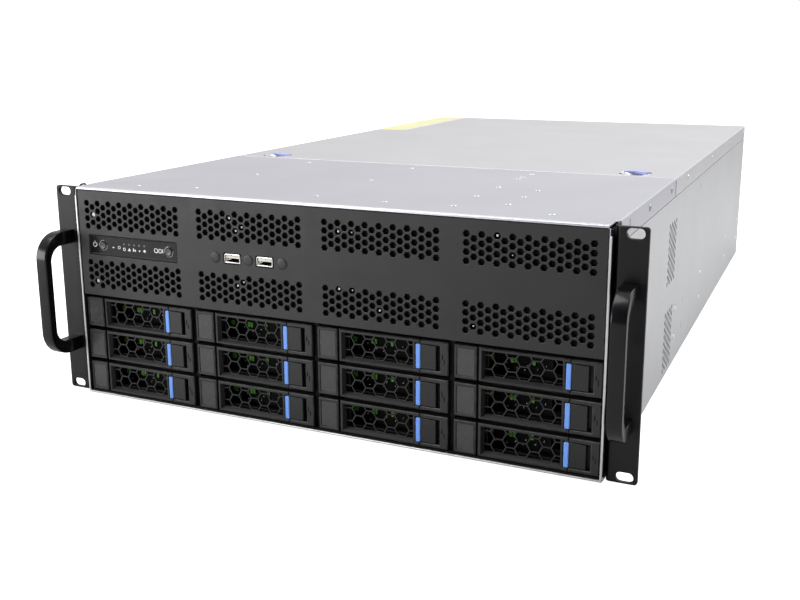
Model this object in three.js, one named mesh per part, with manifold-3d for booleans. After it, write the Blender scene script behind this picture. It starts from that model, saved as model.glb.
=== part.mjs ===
// A 4U rack-mount storage enclosure with twelve hot-swap drive trays.
// Millimetres, +X to the viewer's right, +Y to the rear, +Z up. The outer group is placed so that
// the origin lies under the middle of the whole object, on the surface that the case rests on.
import * as THREE from 'three';
import { mergeVertices } from 'three/addons/utils/BufferGeometryUtils.js';
import Module from 'manifold-3d';

const wasm = await Module();
wasm.setup();

// ---------------------------------------------------------------- driving dimensions
const CASE = { width: 439, height: 175, rear: 789, rim: -4 }; // Y = 0 is the rack ears' front face
const SHEET = 1.2;
const GAP = 0.3; // between pieces that touch
const COVER_FLANGE = 16; // how far the covers' side flanges reach down
const SEAM_Y = 233; // where the front cover ends and the rear lid starts

const EAR = { outer: 241.3, height: 174, plate: 3, flange: 2, flangeDepth: 28, corner: 2.2 };
const SLOT = { x: 232.55, rise: 82.55, length: 12, width: 7 }; // EIA-310 rack slots
const HANDLE = { x: 231, length: 102, reach: 34, width: 10.4, grip: 7, foot: 11, bend: 21, crook: 12 };

const TRAY = { columns: 4, rows: 3, pitchX: 109.2, pitchZ: 27.8, width: 104.6, height: 24.6 };
TRAY.front = -1.5;
TRAY.bottom = 2.7;
TRAY.depth = 160;
const LEVER = { left: 16.95, right: 82.65, thick: 7, pin: 3.4 };
const WINDOW = { left: 22.7, right: 77.1, low: 3.5, high: 22 };
const STRIP = { left: 80, right: 83.5, low: 3.1, high: 21.2 };
const LATCH = { right: 95.2, low: 3.2, high: 21.1, thick: 4 };
const POCKET = { right: 98.5, low: 2.8, high: 21.5, deep: 5 };

const CAGE = { front: 2, rear: 192, top: 85.5, wall: 3.6 };
const BACKPLANE = { y: 196, thick: 1.6, half: 215, low: 4, high: 84 };
const SOCKET = { fromLeft: 14, up: 5, width: 44, height: 7, reach: 7 }; // one drive connector
const RAIL = { inset: 0.4, thick: 1, floor: 0.5 }; // the tray's side rails and thin floor
const FAN = { count: 3, pitch: 124, y: 262, depth: 25, half: 60, bore: 58, hub: 21, centreZ: 72 };
const BLADE = { count: 7, hub: 20, chord: 26, thick: 1.6, twist: 0.65 };
const PANEL = { front: -3.2, thick: 2, low: 85.7, high: 172.6 };
const CONTROL = { x: -164, z: 128, width: 86.4, height: 16.2, depth: 10, recess: 1.2 };
const BUTTON = { radius: 3.6, length: 5.5, powerFromLeft: 13, identifyFromRight: 8.2 };
const USB = { x: -54.6, z: 128, spread: 14.3, width: 14.6, height: 8.2, depth: 14 };
const MOUTH = { half: 6.4, high: 2.7, tongueHalf: 5.6, tongueLow: 0.2, tongueHigh: 2.1 };
const SUPPLY = { left: -214, right: -64, depth: 160, low: 2.5, high: 88.5 };
const PORTS = { left: -48, right: 112, low: 14, high: 60 }; // the rear panel's cut-out
const BOARD = { left: -48, right: 212, front: 440, rear: 770, low: 8, thick: 1.6 };
const SINK = { x: 45, spread: 55, half: 40, front: 500, rear: 590, top: 42 };
const MEMORY = { count: 4, left: 160, pitch: 10, thick: 4, front: 485, rear: 620, top: 40 };
const INLET = { left: 10.5, right: 35.5, low: 13.5, high: 30.5, deep: 14, border: 6 };
const LATCH_CUP = { x: 182, y: 252, radius: 13.2, deep: 6, lip: 2, wall: 1 };

// ---------------------------------------------------------------- materials
const FINISHES = {
  zincSteel: { color: 0xc8cacd, roughness: 0.42, metalness: 0.65 },
  blackSteel: { color: 0x2b2b2d, roughness: 0.5, metalness: 0.3 },
  blackPlastic: { color: 0x303033, roughness: 0.55, metalness: 0.0 },
  satinBlack: { color: 0x1c1c1e, roughness: 0.32, metalness: 0.4 },
  bluePlastic: { color: 0x5f8fe0, roughness: 0.4, metalness: 0.0 },
  boardGreen: { color: 0x1f6a34, roughness: 0.5, metalness: 0.0 },
  glossBlack: { color: 0x121214, roughness: 0.15, metalness: 0.0 },
  brightSteel: { color: 0xd8d8da, roughness: 0.25, metalness: 0.9 },
};

function finish(name) {
  return new THREE.MeshStandardMaterial(FINISHES[name]);
}

// ---------------------------------------------------------------- geometry helpers
function block(x0, x1, y0, y1, z0, z1) {
  const geometry = new THREE.BoxGeometry(x1 - x0, y1 - y0, z1 - z0);
  return geometry.translate((x0 + x1) / 2, (y0 + y1) / 2, (z0 + z1) / 2);
}

function drum(radius, y0, y1, x, z, sides = 32) {
  const geometry = new THREE.CylinderGeometry(radius, radius, y1 - y0, sides);
  return geometry.translate(x, (y0 + y1) / 2, z);
}

function outline(points) {
  return new THREE.Shape(points.map(([a, b]) => new THREE.Vector2(a, b)));
}

// A shape drawn in X and Z, drawn out from y0 to y1.
function alongY(shape, y0, y1, curveSegments = 6) {
  const geometry = new THREE.ExtrudeGeometry(shape, {
    depth: y1 - y0, bevelEnabled: false, curveSegments,
  });
  return geometry.rotateX(Math.PI / 2).translate(0, y1, 0);
}

// A shape drawn in Y and Z, drawn out from x0 to x1.
function alongX(shape, x0, x1, curveSegments = 6) {
  const geometry = new THREE.ExtrudeGeometry(shape, {
    depth: x1 - x0, bevelEnabled: false, curveSegments,
  });
  const turn = new THREE.Matrix4().makeBasis(
    new THREE.Vector3(0, 1, 0), new THREE.Vector3(0, 0, 1), new THREE.Vector3(1, 0, 0),
  );
  return geometry.applyMatrix4(turn).translate(x0, 0, 0);
}

// A shape drawn in X and Y, drawn out from z0 to z1.
function alongZ(shape, z0, z1, curveSegments = 6) {
  const geometry = new THREE.ExtrudeGeometry(shape, {
    depth: z1 - z0, bevelEnabled: false, curveSegments,
  });
  return geometry.translate(0, 0, z0);
}

function toManifold(geometry) {
  const bare = geometry.clone();
  bare.deleteAttribute('normal');
  bare.deleteAttribute('uv');
  const welded = mergeVertices(bare, 1e-4);
  return new wasm.Manifold(new wasm.Mesh({
    numProp: 3,
    vertProperties: new Float32Array(welded.attributes.position.array),
    triVerts: new Uint32Array(welded.index.array),
  }));
}

function toGeometry(solid) {
  const mesh = solid.getMesh();
  const geometry = new THREE.BufferGeometry();
  geometry.setAttribute('position', new THREE.BufferAttribute(mesh.vertProperties, 3));
  geometry.setIndex(new THREE.BufferAttribute(mesh.triVerts, 1));
  const faceted = geometry.toNonIndexed();
  faceted.computeVertexNormals();
  return faceted;
}

// The first list joined together, less everything in the second.
function solid(joined, removed = []) {
  let body = toManifold(joined[0]);
  for (const piece of joined.slice(1)) body = body.add(toManifold(piece));
  for (const piece of removed) body = body.subtract(toManifold(piece));
  return toGeometry(body);
}

const enclosure = new THREE.Group();

function place(name, geometry, material, x = 0, y = 0, z = 0) {
  const mesh = new THREE.Mesh(geometry, finish(material));
  mesh.name = name;
  mesh.position.set(x, y, z);
  enclosure.add(mesh);
}

const HALF = CASE.width / 2;
const INNER = HALF - SHEET;
const CLEAR = HALF - 2 * (SHEET + GAP); // between the tucked-in tops of the pan's walls
const MIDDLE = CASE.height / 2;
const BEYOND = 9; // how far a cutting block runs past the sheet it cuts
const REAR_FACE = CASE.rear - 3; // the rear panel's outer face, a little inside the case's end

// ---------------------------------------------------------------- case
function basePan() {
  const tuck = SHEET + GAP; // the walls step in behind the covers' flanges
  const step = CASE.height - COVER_FLANGE - GAP;
  const top = CASE.height - tuck - 0.1;
  const rightSide = [
    [HALF, 0], [HALF, step], [HALF - tuck, step], [HALF - tuck, top],
    [HALF - tuck - SHEET, top], [HALF - tuck - SHEET, step - tuck], [INNER, step - tuck],
    [INNER, SHEET],
  ];
  const leftSide = rightSide.map(([x, z]) => [-x, z]).reverse();
  const wrap = alongY(outline([...rightSide, ...leftSide]), CASE.rim, CASE.rear);
  const hem = { width: 2.2, depth: 3 };
  const hems = [-HALF, HALF - hem.width].map(
    (x) => block(x, x + hem.width, CASE.rim, CASE.rim + hem.depth, 0, step),
  );
  const sill = block(-HALF, HALF, CASE.rim, CASE.rim + 1.5, 0, 2);
  return solid([wrap, ...hems, sill]);
}

function coverSheet(y0, y1) {
  const low = CASE.height - COVER_FLANGE;
  const profile = [
    [HALF, low], [HALF, CASE.height], [-HALF, CASE.height], [-HALF, low],
    [-INNER, low], [-INNER, CASE.height - SHEET], [INNER, CASE.height - SHEET], [INNER, low],
  ];
  return alongY(outline(profile), y0, y1);
}

function frontCover() {
  const lip = block(-CLEAR, CLEAR, CASE.rim, CASE.rim + 1.5, CASE.height - 2, CASE.height - 0.5);
  return solid([coverSheet(CASE.rim, SEAM_Y - GAP), lip]);
}

function rearLid() {
  const sheet = coverSheet(SEAM_Y, CASE.rear);
  const holes = [-1, 1].map((side) => {
    const hole = drum(LATCH_CUP.radius + GAP, -BEYOND, BEYOND, 0, 0).rotateX(Math.PI / 2);
    return hole.translate(side * LATCH_CUP.x, LATCH_CUP.y, CASE.height);
  });
  return solid([sheet], holes);
}

// A shallow cup that fills the lid's hole, with a raised crescent at its rear for the thumb.
function lidLatch() {
  const { radius, deep, lip, wall } = LATCH_CUP;
  const floor = SHEET - deep;
  const profile = [
    [0, -deep], [radius, -deep], [radius, 0], [radius - wall, 0], [radius - wall, floor], [0, floor],
  ];
  const cup = new THREE.LatheGeometry(profile.map(([r, z]) => new THREE.Vector2(r, z)), 32);
  const crescent = new THREE.Shape();
  crescent.absarc(0, 0, radius, 0.12 * Math.PI, 0.88 * Math.PI, false);
  crescent.absarc(0, -3, radius - 2, 0.8 * Math.PI, 0.2 * Math.PI, true);
  return solid([cup.rotateX(Math.PI / 2), alongZ(crescent, floor - wall / 2, lip, 10)]);
}

function rearPanel() {
  const sheet = block(-CLEAR, CLEAR, REAR_FACE - SHEET, REAR_FACE, 1.5, CASE.height - 3);
  const cut = (left, right, low, high) => block(
    left - GAP, right + GAP, REAR_FACE - BEYOND, REAR_FACE + BEYOND, low - GAP, high + GAP,
  );
  return solid([sheet], [
    cut(SUPPLY.left, SUPPLY.right, SUPPLY.low, SUPPLY.high),
    cut(PORTS.left, PORTS.right, PORTS.low, PORTS.high),
  ]);
}

// ---------------------------------------------------------------- rack ears and handles
function ear() {
  const inner = HALF + GAP;
  const low = -EAR.height / 2;
  const high = EAR.height / 2;
  const c = EAR.corner;
  const face = new THREE.Shape();
  face.moveTo(inner, low);
  face.lineTo(EAR.outer - c, low);
  face.absarc(EAR.outer - c, low + c, c, -Math.PI / 2, 0, false);
  face.lineTo(EAR.outer, high - c);
  face.absarc(EAR.outer - c, high - c, c, 0, Math.PI / 2, false);
  face.lineTo(inner, high);
  for (const side of [-1, 1]) {
    const r = SLOT.width / 2;
    const reach = SLOT.length / 2 - r;
    const slot = new THREE.Path();
    slot.absarc(SLOT.x + reach, side * SLOT.rise, r, -Math.PI / 2, Math.PI / 2, false);
    slot.absarc(SLOT.x - reach, side * SLOT.rise, r, Math.PI / 2, Math.PI * 1.5, false);
    slot.closePath();
    face.holes.push(slot);
  }
  const plate = alongY(face, 0, EAR.plate);
  const flange = block(inner, inner + EAR.flange, EAR.plate / 2, EAR.flangeDepth, low, high - 2);
  return solid([plate, flange]);
}

// A bar bent into a bow, standing on the ear's face.
function handle() {
  const { length, reach, grip, foot, bend, crook } = HANDLE;
  const half = length / 2;
  const inside = half - foot;
  const back = grip - reach;
  const bow = new THREE.Shape();
  bow.moveTo(-GAP, half);
  bow.absarc(-reach + bend, half - bend, bend, Math.PI / 2, Math.PI, false);
  bow.absarc(-reach + bend, bend - half, bend, Math.PI, Math.PI * 1.5, false);
  bow.lineTo(-GAP, -half);
  bow.lineTo(-GAP, -inside);
  bow.absarc(back + crook, crook - inside, crook, Math.PI * 1.5, Math.PI, true);
  bow.absarc(back + crook, inside - crook, crook, Math.PI, Math.PI / 2, true);
  bow.lineTo(-GAP, inside);
  return alongX(bow, -HANDLE.width / 2, HANDLE.width / 2, 8);
}

function mirrored(geometry) {
  return toGeometry(toManifold(geometry).mirror([1, 0, 0]));
}

// ---------------------------------------------------------------- front panel
function grillePanel() {
  const { front, thick, low, high } = PANEL;
  const sheet = block(-CLEAR, CLEAR, front, front + thick, low, high);
  const cut = (x, width, height) => block(
    x - width / 2 - GAP, x + width / 2 + GAP, front - BEYOND, front + BEYOND,
    CONTROL.z - height / 2 - GAP, CONTROL.z + height / 2 + GAP,
  );
  const ports = [-1, 1].map((side) => cut(USB.x + side * USB.spread, USB.width, USB.height));
  return solid([sheet], [cut(CONTROL.x, CONTROL.width, CONTROL.height), ...ports]);
}

const POWER_X = BUTTON.powerFromLeft - CONTROL.width / 2; // from the control panel's middle
const IDENTIFY_X = CONTROL.width / 2 - BUTTON.identifyFromRight;

// A shallow tray that carries the buttons and indicator lamps.
function controlPanel() {
  const w = CONTROL.width / 2;
  const h = CONTROL.height / 2;
  const { depth, recess } = CONTROL;
  const front = PANEL.front + 0.6;
  const shell = block(-w, w, front, front + depth, -h, h);
  const dish = block(recess - w, w - recess, front - 1, front + 1, recess - h, h - recess);
  const bores = [POWER_X, IDENTIFY_X].map(
    (x) => drum(BUTTON.radius + 0.4, front - 1, front + depth - 2.5, x, 0, 24),
  );
  return solid([shell], [dish, ...bores]);
}

function button() {
  const front = PANEL.front + 0.4;
  return drum(BUTTON.radius, front, front + BUTTON.length, 0, 0, 24);
}

// A metal sleeve with the contact tongue of a USB-A socket standing in it.
function usbPort() {
  const w = USB.width / 2;
  const h = USB.height / 2;
  const front = PANEL.front - 0.3;
  const sleeve = block(-w, w, front, front + USB.depth, -h, h);
  const { half, high, tongueHalf, tongueLow, tongueHigh } = MOUTH;
  const mouth = block(-half, half, front - 1, front + USB.depth - 1.5, -high, high);
  const tongue = block(
    -tongueHalf, tongueHalf, front + 1.5, front + USB.depth - 1, tongueLow, tongueHigh,
  );
  return solid([solid([sleeve], [mouth]), tongue]);
}

// ---------------------------------------------------------------- drive bays
function trayX(column) {
  const span = (TRAY.columns - 1) * TRAY.pitchX + TRAY.width;
  return column * TRAY.pitchX - span / 2;
}

function trayZ(row) {
  return TRAY.bottom + (TRAY.rows - 1 - row) * TRAY.pitchZ;
}

// Walls between the columns under one top plate; the case's floor closes the bottom row.
function driveCage() {
  const span = (TRAY.columns - 1) * TRAY.pitchX + TRAY.width;
  const bay = TRAY.pitchX - CAGE.wall;
  const outer = span / 2 + (bay - TRAY.width) / 2 + SHEET;
  const floor = SHEET + GAP;
  const ceiling = CAGE.top - 0.8;
  const points = [[-outer, floor], [-outer, CAGE.top], [outer, CAGE.top], [outer, floor]];
  for (let column = TRAY.columns - 1; column >= 0; column -= 1) {
    const left = trayX(column) - (bay - TRAY.width) / 2;
    points.push([left + bay, floor], [left + bay, ceiling], [left, ceiling], [left, floor]);
  }
  return alongY(outline(points), CAGE.front, CAGE.rear);
}

function backplane() {
  const { y, thick, half, low, high } = BACKPLANE;
  const pieces = [block(-half, half, y, y + thick, low, high)];
  for (let column = 0; column < TRAY.columns; column += 1) {
    for (let row = 0; row < TRAY.rows; row += 1) {
      const x = trayX(column) + SOCKET.fromLeft;
      const z = trayZ(row) + SOCKET.up;
      pieces.push(block(
        x, x + SOCKET.width, y - SOCKET.reach, y + thick / 2, z, z + SOCKET.height,
      ));
    }
  }
  return solid(pieces);
}

// Bezel blocks joined behind the lever, and a shallow channel that holds the drive.
function tray() {
  const { width, height, depth } = TRAY;
  const back = 12;
  const blockEnd = LEVER.left - GAP;
  const leftBlock = block(0, blockEnd, 0, back, 0, height);
  const rightBlock = block(LEVER.right + 0.5, width, 0, back, 0, height);
  const bridge = block(0, width, LEVER.thick + 2.5, back, 0, height);
  const rails = [RAIL.inset, width - RAIL.inset - RAIL.thick].map(
    (x) => block(x, x + RAIL.thick, back - 1, depth, 0, height - 1),
  );
  const floor = block(RAIL.inset, width - RAIL.inset, back - 1, depth, 0, RAIL.floor);
  const airWindow = block(
    WINDOW.left, WINDOW.right, LEVER.thick, back + 1, WINDOW.low + 1, WINDOW.high - 1,
  );
  const pocket = block(LEVER.right, POCKET.right, -1, POCKET.deep, POCKET.low, POCKET.high);
  return solid([leftBlock, rightBlock, bridge, ...rails, floor], [airWindow, pocket]);
}

// The swinging front: its left end is round about the hinge pin, and it carries the mesh window.
function lever() {
  const { left, right, thick, pin } = LEVER;
  const web = { front: 3.2, back: 4.4 };
  const plan = new THREE.Shape();
  plan.moveTo(right, 0);
  plan.lineTo(right, thick);
  plan.lineTo(left, thick);
  plan.lineTo(left, pin);
  plan.absarc(left + pin, pin, pin, Math.PI, Math.PI * 1.5, false);
  const frame = alongZ(plan, 0, TRAY.height, 5);
  const view = block(WINDOW.left, WINDOW.right, -1, web.front, WINDOW.low, WINDOW.high);
  const relief = block(WINDOW.left, WINDOW.right, web.back, thick + 1, WINDOW.low, WINDOW.high);
  const notch = block(
    STRIP.left - 2 * GAP, right + 1, -1, thick + 1, STRIP.low - 2 * GAP, STRIP.high + 2 * GAP,
  );
  return solid([frame], [view, relief, notch]);
}

function latch() {
  const strip = block(STRIP.left, STRIP.right + 0.5, -0.5, LATCH.thick, STRIP.low, STRIP.high);
  const square = block(STRIP.right, LATCH.right, 0, LATCH.thick, LATCH.low, LATCH.high);
  return solid([strip, square]);
}

// ---------------------------------------------------------------- cooling
function fanX(index) {
  return (index - (FAN.count - 1) / 2) * FAN.pitch;
}

function fanWall() {
  const { y, depth, half, bore, hub, centreZ } = FAN;
  const spider = { thick: 3, arm: 4 };
  const ends = fanX(FAN.count - 1) + half + 2;
  const bank = block(-ends, ends, y, y + depth, centreZ - half, centreZ + half);
  const sheetTop = CASE.height - LATCH_CUP.deep - 4; // the lid's latches press down above it
  const sheet = block(-CLEAR, CLEAR, y, y + 1.5, 1.5, sheetTop);
  const bores = [];
  const spiders = [];
  for (let index = 0; index < FAN.count; index += 1) {
    const x = fanX(index);
    bores.push(drum(bore, y - BEYOND, y + depth + BEYOND, x, centreZ, 36));
    spiders.push(drum(hub, y + depth - spider.thick, y + depth, x, centreZ, 24));
    for (const turn of [0, 1, 2]) {
      const arm = block(
        -bore - 1, bore + 1, y + depth - spider.thick, y + depth, -spider.arm / 2, spider.arm / 2,
      );
      spiders.push(arm.rotateY(turn * Math.PI / 3).translate(x, 0, centreZ));
    }
  }
  const frame = solid([bank, sheet], bores);
  return solid([frame, ...spiders]);
}

function impeller() {
  const { count, hub, chord, thick, twist } = BLADE;
  const length = FAN.depth - 5;
  const pieces = [drum(hub, 0, length, 0, 0, 28)];
  for (let index = 0; index < count; index += 1) {
    const blade = block(hub - 5, FAN.bore - 2, -chord / 2, chord / 2, -thick / 2, thick / 2);
    blade.rotateX(twist).translate(0, length / 2, 0);
    pieces.push(blade.rotateY(index * 2 * Math.PI / count));
  }
  return solid(pieces);
}

// ---------------------------------------------------------------- electronics
function mainBoard() {
  const { left, right, front, rear, low, thick } = BOARD;
  const on = low + thick / 2; // parts stand a little way into the board
  const pieces = [block(left, right, front, rear, low, low + thick)];
  const post = 3;
  for (const x of [left + 18, (left + right) / 2, right - 12]) {
    for (const y of [front + 20, (front + rear) / 2, rear - 20]) {
      pieces.push(block(x - post, x + post, y - post, y + post, SHEET + GAP, on));
    }
  }
  for (const x of [SINK.x - SINK.spread, SINK.x + SINK.spread]) {
    pieces.push(block(x - SINK.half, x + SINK.half, SINK.front, SINK.rear, on, SINK.top));
  }
  for (let index = 0; index < MEMORY.count; index += 1) {
    const x = MEMORY.left + index * MEMORY.pitch;
    pieces.push(block(x, x + MEMORY.thick, MEMORY.front, MEMORY.rear, on, MEMORY.top));
  }
  const ports = { margin: 8, front: rear - 25, rear: rear + 10, top: PORTS.high - 12 };
  pieces.push(block(
    PORTS.left + ports.margin, PORTS.right - ports.margin, ports.front, ports.rear, on, ports.top,
  ));
  return solid(pieces);
}

function powerSupply() {
  const { left, right, depth, low, high } = SUPPLY;
  const shell = block(left, right, REAR_FACE - depth, REAR_FACE + 1.5, low, high);
  const { border, deep } = INLET;
  const rim = block(
    left + INLET.left - border, left + INLET.right + border, REAR_FACE, CASE.rear,
    low + INLET.low - border, low + INLET.high + border,
  );
  const mouth = block(
    left + INLET.left, left + INLET.right, REAR_FACE - deep, CASE.rear + 1,
    low + INLET.low, low + INLET.high,
  );
  return solid([shell, rim], [mouth]);
}

// ---------------------------------------------------------------- assembly
place('base_pan', basePan(), 'zincSteel');
place('front_cover', frontCover(), 'zincSteel');
place('rear_lid', rearLid(), 'zincSteel');
place('lid_latch_left', lidLatch(), 'bluePlastic', -LATCH_CUP.x, LATCH_CUP.y, CASE.height);
place('lid_latch_right', lidLatch(), 'bluePlastic', LATCH_CUP.x, LATCH_CUP.y, CASE.height);
place('rear_panel', rearPanel(), 'zincSteel');

place('ear_left', mirrored(ear()), 'blackSteel', 0, 0, MIDDLE);
place('ear_right', ear(), 'blackSteel', 0, 0, MIDDLE);
place('handle_left', handle(), 'satinBlack', -HANDLE.x, 0, MIDDLE);
place('handle_right', handle(), 'satinBlack', HANDLE.x, 0, MIDDLE);

place('grille_panel', grillePanel(), 'blackSteel');
place('control_panel', controlPanel(), 'glossBlack', CONTROL.x, 0, CONTROL.z);
place('power_button', button(), 'glossBlack', CONTROL.x + POWER_X, 0, CONTROL.z);
place('identify_button', button(), 'glossBlack', CONTROL.x + IDENTIFY_X, 0, CONTROL.z);
place('usb_port_left', usbPort(), 'brightSteel', USB.x - USB.spread, 0, USB.z);
place('usb_port_right', usbPort(), 'brightSteel', USB.x + USB.spread, 0, USB.z);

place('drive_cage', driveCage(), 'zincSteel');
place('backplane', backplane(), 'boardGreen');
for (let row = 0; row < TRAY.rows; row += 1) {
  for (let column = 0; column < TRAY.columns; column += 1) {
    const label = `${row + 1}_${column + 1}`;
    const at = [trayX(column), TRAY.front, trayZ(row)];
    place(`tray_${label}`, tray(), 'blackPlastic', ...at);
    place(`lever_${label}`, lever(), 'blackPlastic', ...at);
    place(`latch_${label}`, latch(), 'bluePlastic', ...at);
  }
}

place('fan_wall', fanWall(), 'blackPlastic');
for (let index = 0; index < FAN.count; index += 1) {
  place(`impeller_${index + 1}`, impeller(), 'blackPlastic', fanX(index), FAN.y + 1, FAN.centreZ);
}
place('main_board', mainBoard(), 'boardGreen');
place('power_supply', powerSupply(), 'zincSteel');

// Centre the whole object, handles included, over the origin.
enclosure.position.y = -(CASE.rear - HANDLE.reach) / 2;

export default enclosure;
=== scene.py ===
"""The looks of a 4U rack-mount storage enclosure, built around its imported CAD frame.

Lengths are in millimetres in the frame, until a mesh is made from them. A sheet or block is a
loop of (u, v) points seen from outside and a depth into the object. A face function says where
a point (u, v, depth) lies.
"""
import math

import bmesh
import bpy
from mathutils import Matrix, Vector
from mathutils.geometry import delaunay_2d_cdt


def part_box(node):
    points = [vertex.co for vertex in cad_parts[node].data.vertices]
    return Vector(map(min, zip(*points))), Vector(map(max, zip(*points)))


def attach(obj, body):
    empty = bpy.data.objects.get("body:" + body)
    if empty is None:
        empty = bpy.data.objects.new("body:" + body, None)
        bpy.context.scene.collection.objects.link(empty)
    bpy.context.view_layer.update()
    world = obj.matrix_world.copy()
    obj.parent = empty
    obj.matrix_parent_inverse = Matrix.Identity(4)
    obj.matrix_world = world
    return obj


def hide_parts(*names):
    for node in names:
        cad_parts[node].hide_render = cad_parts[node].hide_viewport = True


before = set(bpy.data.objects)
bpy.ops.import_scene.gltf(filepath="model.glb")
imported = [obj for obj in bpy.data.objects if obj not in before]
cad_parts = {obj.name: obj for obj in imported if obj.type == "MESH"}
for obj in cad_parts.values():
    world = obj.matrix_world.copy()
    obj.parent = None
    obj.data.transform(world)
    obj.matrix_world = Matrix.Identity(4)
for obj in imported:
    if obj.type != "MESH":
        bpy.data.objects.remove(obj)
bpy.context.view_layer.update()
MM = 0.001


def node_box(node):
    """A CAD node's lowest and highest corner, in millimetres."""
    low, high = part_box(node)
    return low / MM, high / MM


def middle_of(node):
    low, high = node_box(node)
    return (low + high) / 2


# ------------------------------------------------------------------ places, from the frame
PAN_LOW, PAN_HIGH = node_box("base_pan")
COVER_LOW, COVER_HIGH = node_box("front_cover")
LID_LOW, LID_HIGH = node_box("rear_lid")
EAR_LOW, EAR_HIGH = node_box("ear_right")
GRILLE_LOW, GRILLE_HIGH = node_box("grille_panel")
CONTROL_LOW, CONTROL_HIGH = node_box("control_panel")
BACK_LOW, BACK_HIGH = node_box("rear_panel")
SUPPLY_LOW, SUPPLY_HIGH = node_box("power_supply")
HALF = PAN_HIGH.x
TOP = COVER_HIGH.z
FRONT = PAN_LOW.y  # the case's front rim
REAR = PAN_HIGH.y
EAR_FACE = EAR_LOW.y
MIDDLE = TOP / 2
SHEET = 1.2
GAP = 0.3
HEX = {"across": 4.55, "pitch_u": 5.45, "pitch_v": 6.29}


# ------------------------------------------------------------------ loops of (u, v) points
def rect(u0, u1, v0, v1):
    return [(u0, v0), (u1, v0), (u1, v1), (u0, v1)]


def circle(u, v, radius, steps=24):
    turns = [2 * math.pi * k / steps for k in range(steps)]
    return [(u + radius * math.cos(a), v + radius * math.sin(a)) for a in turns]


def hexagon(u, v, across):
    return circle(u, v, across / math.sqrt(3), 6)


def arc(u, v, radius, width, start, sweep, steps=16):
    """A band from `radius` outwards, from `start` degrees on."""
    turns = [math.radians(start + sweep * k / steps) for k in range(steps + 1)]
    out = [(u + (radius + width) * math.cos(a), v + (radius + width) * math.sin(a)) for a in turns]
    return out + [(u + radius * math.cos(a), v + radius * math.sin(a)) for a in reversed(turns)]


def cross(u, v, reach, half):
    """A plus sign."""
    quarter = [(half, half), (reach, half), (reach, -half)]
    points = []
    for turn in range(4):
        c, s = round(math.cos(-turn * math.pi / 2)), round(math.sin(-turn * math.pi / 2))
        points += [(u + x * c - y * s, v + x * s + y * c) for x, y in quarter]
    return points


def rounded(points, radius, steps=4, closed=True):
    """The line or loop with its corners rounded. radius may be a list, one for each corner."""
    count = len(points)
    radii = radius if isinstance(radius, list) else [radius] * count
    made = []
    for i, point in enumerate(points):
        if radii[i] <= 0 or (not closed and i in (0, count - 1)):
            made.append(tuple(point))
            continue
        p = Vector(point)
        a = (Vector(points[i - 1]) - p).normalized()
        b = (Vector(points[(i + 1) % count]) - p).normalized()
        half = math.acos(max(-1, min(1, a.dot(b)))) / 2
        centre = p + (a + b).normalized() * radii[i] / math.sin(half)
        reach = radii[i] / math.tan(half)
        start, end = p + a * reach - centre, p + b * reach - centre
        sweep = start.angle_signed(end)
        for k in range(steps + 1):
            turned = start.copy()
            turned.rotate(Matrix.Rotation(-sweep * k / steps, 2))
            made.append(tuple(centre + turned))
    return made


def soft_rect(u0, u1, v0, v1, radius, steps=4):
    """A rectangle with rounded corners."""
    return rounded(rect(u0, u1, v0, v1), radius, steps)


def area(loop):
    return sum(a[0] * b[1] - b[0] * a[1] for a, b in zip(loop, loop[1:] + loop[:1])) / 2


def anticlockwise(loop):
    return list(loop) if area(loop) > 0 else list(loop)[::-1]


def offset(loop, inwards):
    """An anticlockwise loop with its sides moved inwards, or outwards if negative."""
    if not inwards:
        return list(loop)
    made, count = [], len(loop)
    for i in range(count):
        p = Vector(loop[i])
        a = (p - Vector(loop[i - 1])).normalized()
        b = (Vector(loop[(i + 1) % count]) - p).normalized()
        na, nb = Vector((-a.y, a.x)), Vector((-b.y, b.x))
        made.append(tuple(p + (na + nb) * inwards / (1 + na.dot(nb))))
    return made


def split(loop, folds):
    """The loop with a point wherever a side crosses one of the fold lines u = fold."""
    made = []
    for a, b in zip(loop, loop[1:] + loop[:1]):
        made.append(a)
        run = b[0] - a[0]
        between = [f for f in folds if 1e-5 < (f - a[0]) * (1 if run > 0 else -1) < abs(run) - 1e-5]
        for f in sorted(between, reverse=run < 0):
            made.append((f, a[1] + (b[1] - a[1]) * (f - a[0]) / run))
    return made


def clip(loop, u0, u1, v0, v1):
    """The part of a convex loop inside a rectangle."""
    for axis, sign, limit in ((0, 1, u0), (0, -1, u1), (1, 1, v0), (1, -1, v1)):
        kept = []
        for a, b in zip(loop, loop[1:] + loop[:1]):
            da, db = sign * (a[axis] - limit), sign * (b[axis] - limit)
            if da >= 0:
                kept.append(a)
            if da * db < 0:
                t = da / (da - db)
                kept.append((a[0] + (b[0] - a[0]) * t, a[1] + (b[1] - a[1]) * t))
        loop = kept
        if len(loop) < 3:
            return []
    return loop


def inside(point, loop):
    x, y = point
    crossed = False
    for a, b in zip(loop, loop[1:] + loop[:1]):
        if (a[1] > y) != (b[1] > y) and x < a[0] + (b[0] - a[0]) * (y - a[1]) / (b[1] - a[1]):
            crossed = not crossed
    return crossed


def honeycomb(u, v, columns, tall, across=HEX["across"]):
    """Hexagons about (u, v): every other column has `tall` of them, the rest one fewer."""
    for column in range(columns):
        count = tall - column % 2
        cu = u + (column - (columns - 1) / 2) * HEX["pitch_u"]
        for row in range(count):
            yield hexagon(cu, v + (row - (count - 1) / 2) * HEX["pitch_v"], across)


# ------------------------------------------------------------------ faces
def facing_front(y):
    return lambda u, v, w: Vector((u, y + w, v))


def facing_rear(y):
    return lambda u, v, w: Vector((u, y - w, v))


def facing_up(z):
    return lambda u, v, w: Vector((u, v, z - w))


def facing_side(x):
    """The right side where x is above 0, and else the left. u is along Y and v is up."""
    inwards = -1 if x > 0 else 1
    return lambda u, v, w: Vector((x + inwards * w, u, v))


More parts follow.
